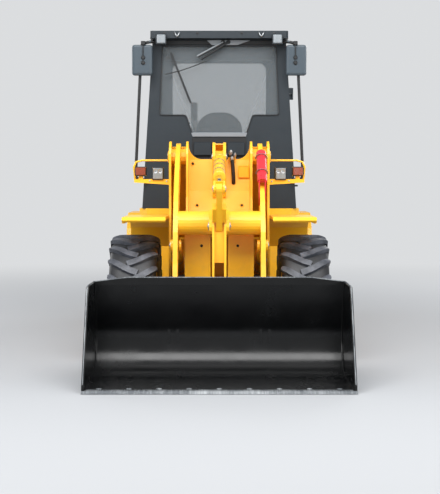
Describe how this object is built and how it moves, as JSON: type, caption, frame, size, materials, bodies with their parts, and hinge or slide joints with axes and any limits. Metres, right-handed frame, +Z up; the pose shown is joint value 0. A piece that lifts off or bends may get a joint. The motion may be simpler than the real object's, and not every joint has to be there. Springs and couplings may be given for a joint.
{
  "type": "wheel loader",
  "caption": "Compact articulated wheel loader with a closed cab, a front lift boom and a wide digging bucket on rubber tyres.",
  "frame": {"origin": "on the floor under the middle of the machine", "axes": "+Z up, the bucket faces -Y, +X is the operator's left"},
  "size_m": [2, 5.7, 2.97],
  "materials": {
    "yellow_paint": "gloss",
    "cab_paint": "satin",
    "bucket_black": "gloss",
    "tyre_rubber": "matte",
    "tinted_glass": "gloss",
    "plated_rod": "polished",
    "dark_iron": "matte",
    "red_paint": "gloss",
    "mirror_plastic": "satin",
    "seat_vinyl": "matte"
  },
  "bodies": {
    "rear_chassis": {"rear_frame": "yellow_paint", "rear_axle": "dark_iron", "engine_block": "dark_iron", "counterweight": "yellow_paint", "rear_fender_left": "yellow_paint", "rear_fender_right": "yellow_paint", "step_tank_left": "yellow_paint", "step_tank_right": "yellow_paint", "cab_floor": "yellow_paint", "cab_front_wall": "cab_paint", "cab_rear_wall": "cab_paint", "cab_side_right": "cab_paint", "cab_roof": "cab_paint", "windshield": "tinted_glass", "rear_window": "tinted_glass", "side_window_right": "tinted_glass", "seat_base": "dark_iron", "seat_cushion": "seat_vinyl", "seat_back": "seat_vinyl", "steering_column": "dark_iron", "mirror_left": "mirror_plastic", "mirror_right": "mirror_plastic"},
    "front_chassis": {"front_frame": "yellow_paint", "front_axle": "dark_iron", "front_fender_left": "yellow_paint", "front_fender_right": "yellow_paint", "lamp_bracket_left": "yellow_paint", "lamp_bracket_right": "yellow_paint"},
    "boom": {"lift_arm_left": "yellow_paint", "lift_arm_right": "yellow_paint", "boom_cross_tube": "yellow_paint", "boom_safety_prop": "red_paint"},
    "bucket": {"bucket_shell": "bucket_black", "cutting_edge": "bucket_black"},
    "bell_crank": {"bell_crank": "yellow_paint"},
    "bucket_link": {"bucket_link": "yellow_paint"},
    "tilt_cylinder": {"tilt_cylinder": "yellow_paint"},
    "tilt_rod": {"tilt_rod": "plated_rod"},
    "lift_cylinders": {"lift_cylinder_left": "yellow_paint", "lift_cylinder_right": "yellow_paint"},
    "lift_rods": {"lift_rod_left": "plated_rod", "lift_rod_right": "plated_rod"},
    "cab_door": {"cab_door": "cab_paint", "door_window": "tinted_glass"},
    "engine_hood": {"engine_hood": "yellow_paint", "exhaust_stack": "bucket_black"},
    "front_wheel_left": {"front_tyre_left": "tyre_rubber", "front_rim_left": "yellow_paint"},
    "front_wheel_right": {"front_tyre_right": "tyre_rubber", "front_rim_right": "yellow_paint"},
    "rear_wheel_left": {"rear_tyre_left": "tyre_rubber", "rear_rim_left": "yellow_paint"},
    "rear_wheel_right": {"rear_tyre_right": "tyre_rubber", "rear_rim_right": "yellow_paint"},
    "steering_cylinder_left": {"steering_cylinder_left": "yellow_paint"},
    "steering_rod_left": {"steering_rod_left": "plated_rod"},
    "steering_cylinder_right": {"steering_cylinder_right": "yellow_paint"},
    "steering_rod_right": {"steering_rod_right": "plated_rod"}
  },
  "joints": [
    {"name": "articulation_steer", "type": "hinge", "parent": "rear_chassis", "child": "front_chassis", "pos_m": [0, 0.125, 0.7], "axis": [0, 0, 1], "range_deg": [-35, 35]},
    {"name": "front_wheel_left_spin", "type": "hinge", "parent": "front_chassis", "child": "front_wheel_left", "pos_m": [0.6, -1, 0.5375], "axis": [1, 0, 0], "continuous": true},
    {"name": "front_wheel_right_spin", "type": "hinge", "parent": "front_chassis", "child": "front_wheel_right", "pos_m": [-0.6, -1, 0.5375], "axis": [1, 0, 0], "continuous": true},
    {"name": "rear_wheel_left_spin", "type": "hinge", "parent": "rear_chassis", "child": "rear_wheel_left", "pos_m": [0.6, 1.25, 0.5375], "axis": [1, 0, 0], "continuous": true},
    {"name": "rear_wheel_right_spin", "type": "hinge", "parent": "rear_chassis", "child": "rear_wheel_right", "pos_m": [-0.6, 1.25, 0.5375], "axis": [1, 0, 0], "continuous": true},
    {"name": "boom_lift", "type": "hinge", "parent": "front_chassis", "child": "boom", "pos_m": [0, -0.65, 1.76], "axis": [-1, 0, 0], "range_deg": [0, 85]},
    {"name": "bucket_tilt", "type": "hinge", "parent": "boom", "child": "bucket", "pos_m": [0, -1.81, 0.27], "axis": [1, 0, 0], "range_deg": [-40, 125]},
    {"name": "bell_crank_turn", "type": "hinge", "parent": "boom", "child": "bell_crank", "pos_m": [0, -1.59, 1.17], "axis": [1, 0, 0], "range_deg": [-23, 8]},
    {"name": "bucket_link_turn", "type": "hinge", "parent": "bucket", "child": "bucket_link", "pos_m": [0, -1.871, 0.5756], "axis": [1, 0, 0], "range_deg": [-8, 3]},
    {"name": "tilt_cylinder_turn", "type": "hinge", "parent": "boom", "child": "tilt_cylinder", "pos_m": [0, -0.65, 1.76], "axis": [1, 0, 0], "range_deg": [-2, 1]},
    {"name": "tilt_rod_slide", "type": "slide", "parent": "tilt_cylinder", "child": "tilt_rod", "axis": [0, -0.9715, -0.237], "range_m": [-0.145, 0.05]},
    {"name": "lift_cylinder_turn", "type": "hinge", "parent": "front_chassis", "child": "lift_cylinders", "pos_m": [0, -0.16, 0.6], "axis": [-1, 0, 0], "range_deg": [0, 36.3]},
    {"name": "lift_rod_slide", "type": "slide", "parent": "lift_cylinders", "child": "lift_rods", "axis": [0, -0.9495, 0.3139], "range_m": [0, 0.9627]},
    {"name": "steering_cylinder_left_turn", "type": "hinge", "parent": "rear_chassis", "child": "steering_cylinder_left", "pos_m": [0.28, 0.55, 0.7], "axis": [0, 0, 1], "range_deg": [-7.3, 7.3]},
    {"name": "steering_rod_left_slide", "type": "slide", "parent": "steering_cylinder_left", "child": "steering_rod_left", "axis": [-0.1047, -0.9945, 0], "range_m": [-0.1418, 0.1418]},
    {"name": "steering_cylinder_right_turn", "type": "hinge", "parent": "rear_chassis", "child": "steering_cylinder_right", "pos_m": [-0.28, 0.55, 0.7], "axis": [0, 0, 1], "range_deg": [-7.3, 7.3]},
    {"name": "steering_rod_right_slide", "type": "slide", "parent": "steering_cylinder_right", "child": "steering_rod_right", "axis": [0.1047, -0.9945, 0], "range_m": [-0.1418, 0.1418]},
    {"name": "cab_door_swing", "type": "hinge", "parent": "rear_chassis", "child": "cab_door", "pos_m": [0.765, 1.153, 2], "axis": [0, 0, 1], "range_deg": [0, 95]},
    {"name": "engine_hood_lift", "type": "hinge", "parent": "rear_chassis", "child": "engine_hood", "pos_m": [0, 1.43, 1.93], "axis": [1, 0, 0], "range_deg": [0, 45]}
  ],
  "couplings": [
    {"joint": "bell_crank_turn", "follows": "bucket_tilt", "ratio": -0.18},
    {"joint": "bucket_link_turn", "follows": "bucket_tilt", "ratio": -0.06218},
    {"joint": "tilt_cylinder_turn", "follows": "bucket_tilt", "ratio": -0.01027},
    {"joint": "tilt_rod_slide", "follows": "bucket_tilt", "m_per_rad": -0.0659},
    {"joint": "lift_cylinder_turn", "follows": "boom_lift", "ratio": 0.42153},
    {"joint": "lift_rod_slide", "follows": "boom_lift", "m_per_rad": 0.64755},
    {"joint": "steering_cylinder_left_turn", "follows": "articulation_steer", "ratio": 0.1941},
    {"joint": "steering_rod_left_slide", "follows": "articulation_steer", "m_per_rad": -0.22884},
    {"joint": "steering_cylinder_right_turn", "follows": "articulation_steer", "ratio": 0.1941},
    {"joint": "steering_rod_right_slide", "follows": "articulation_steer", "m_per_rad": 0.22884}
  ]
}
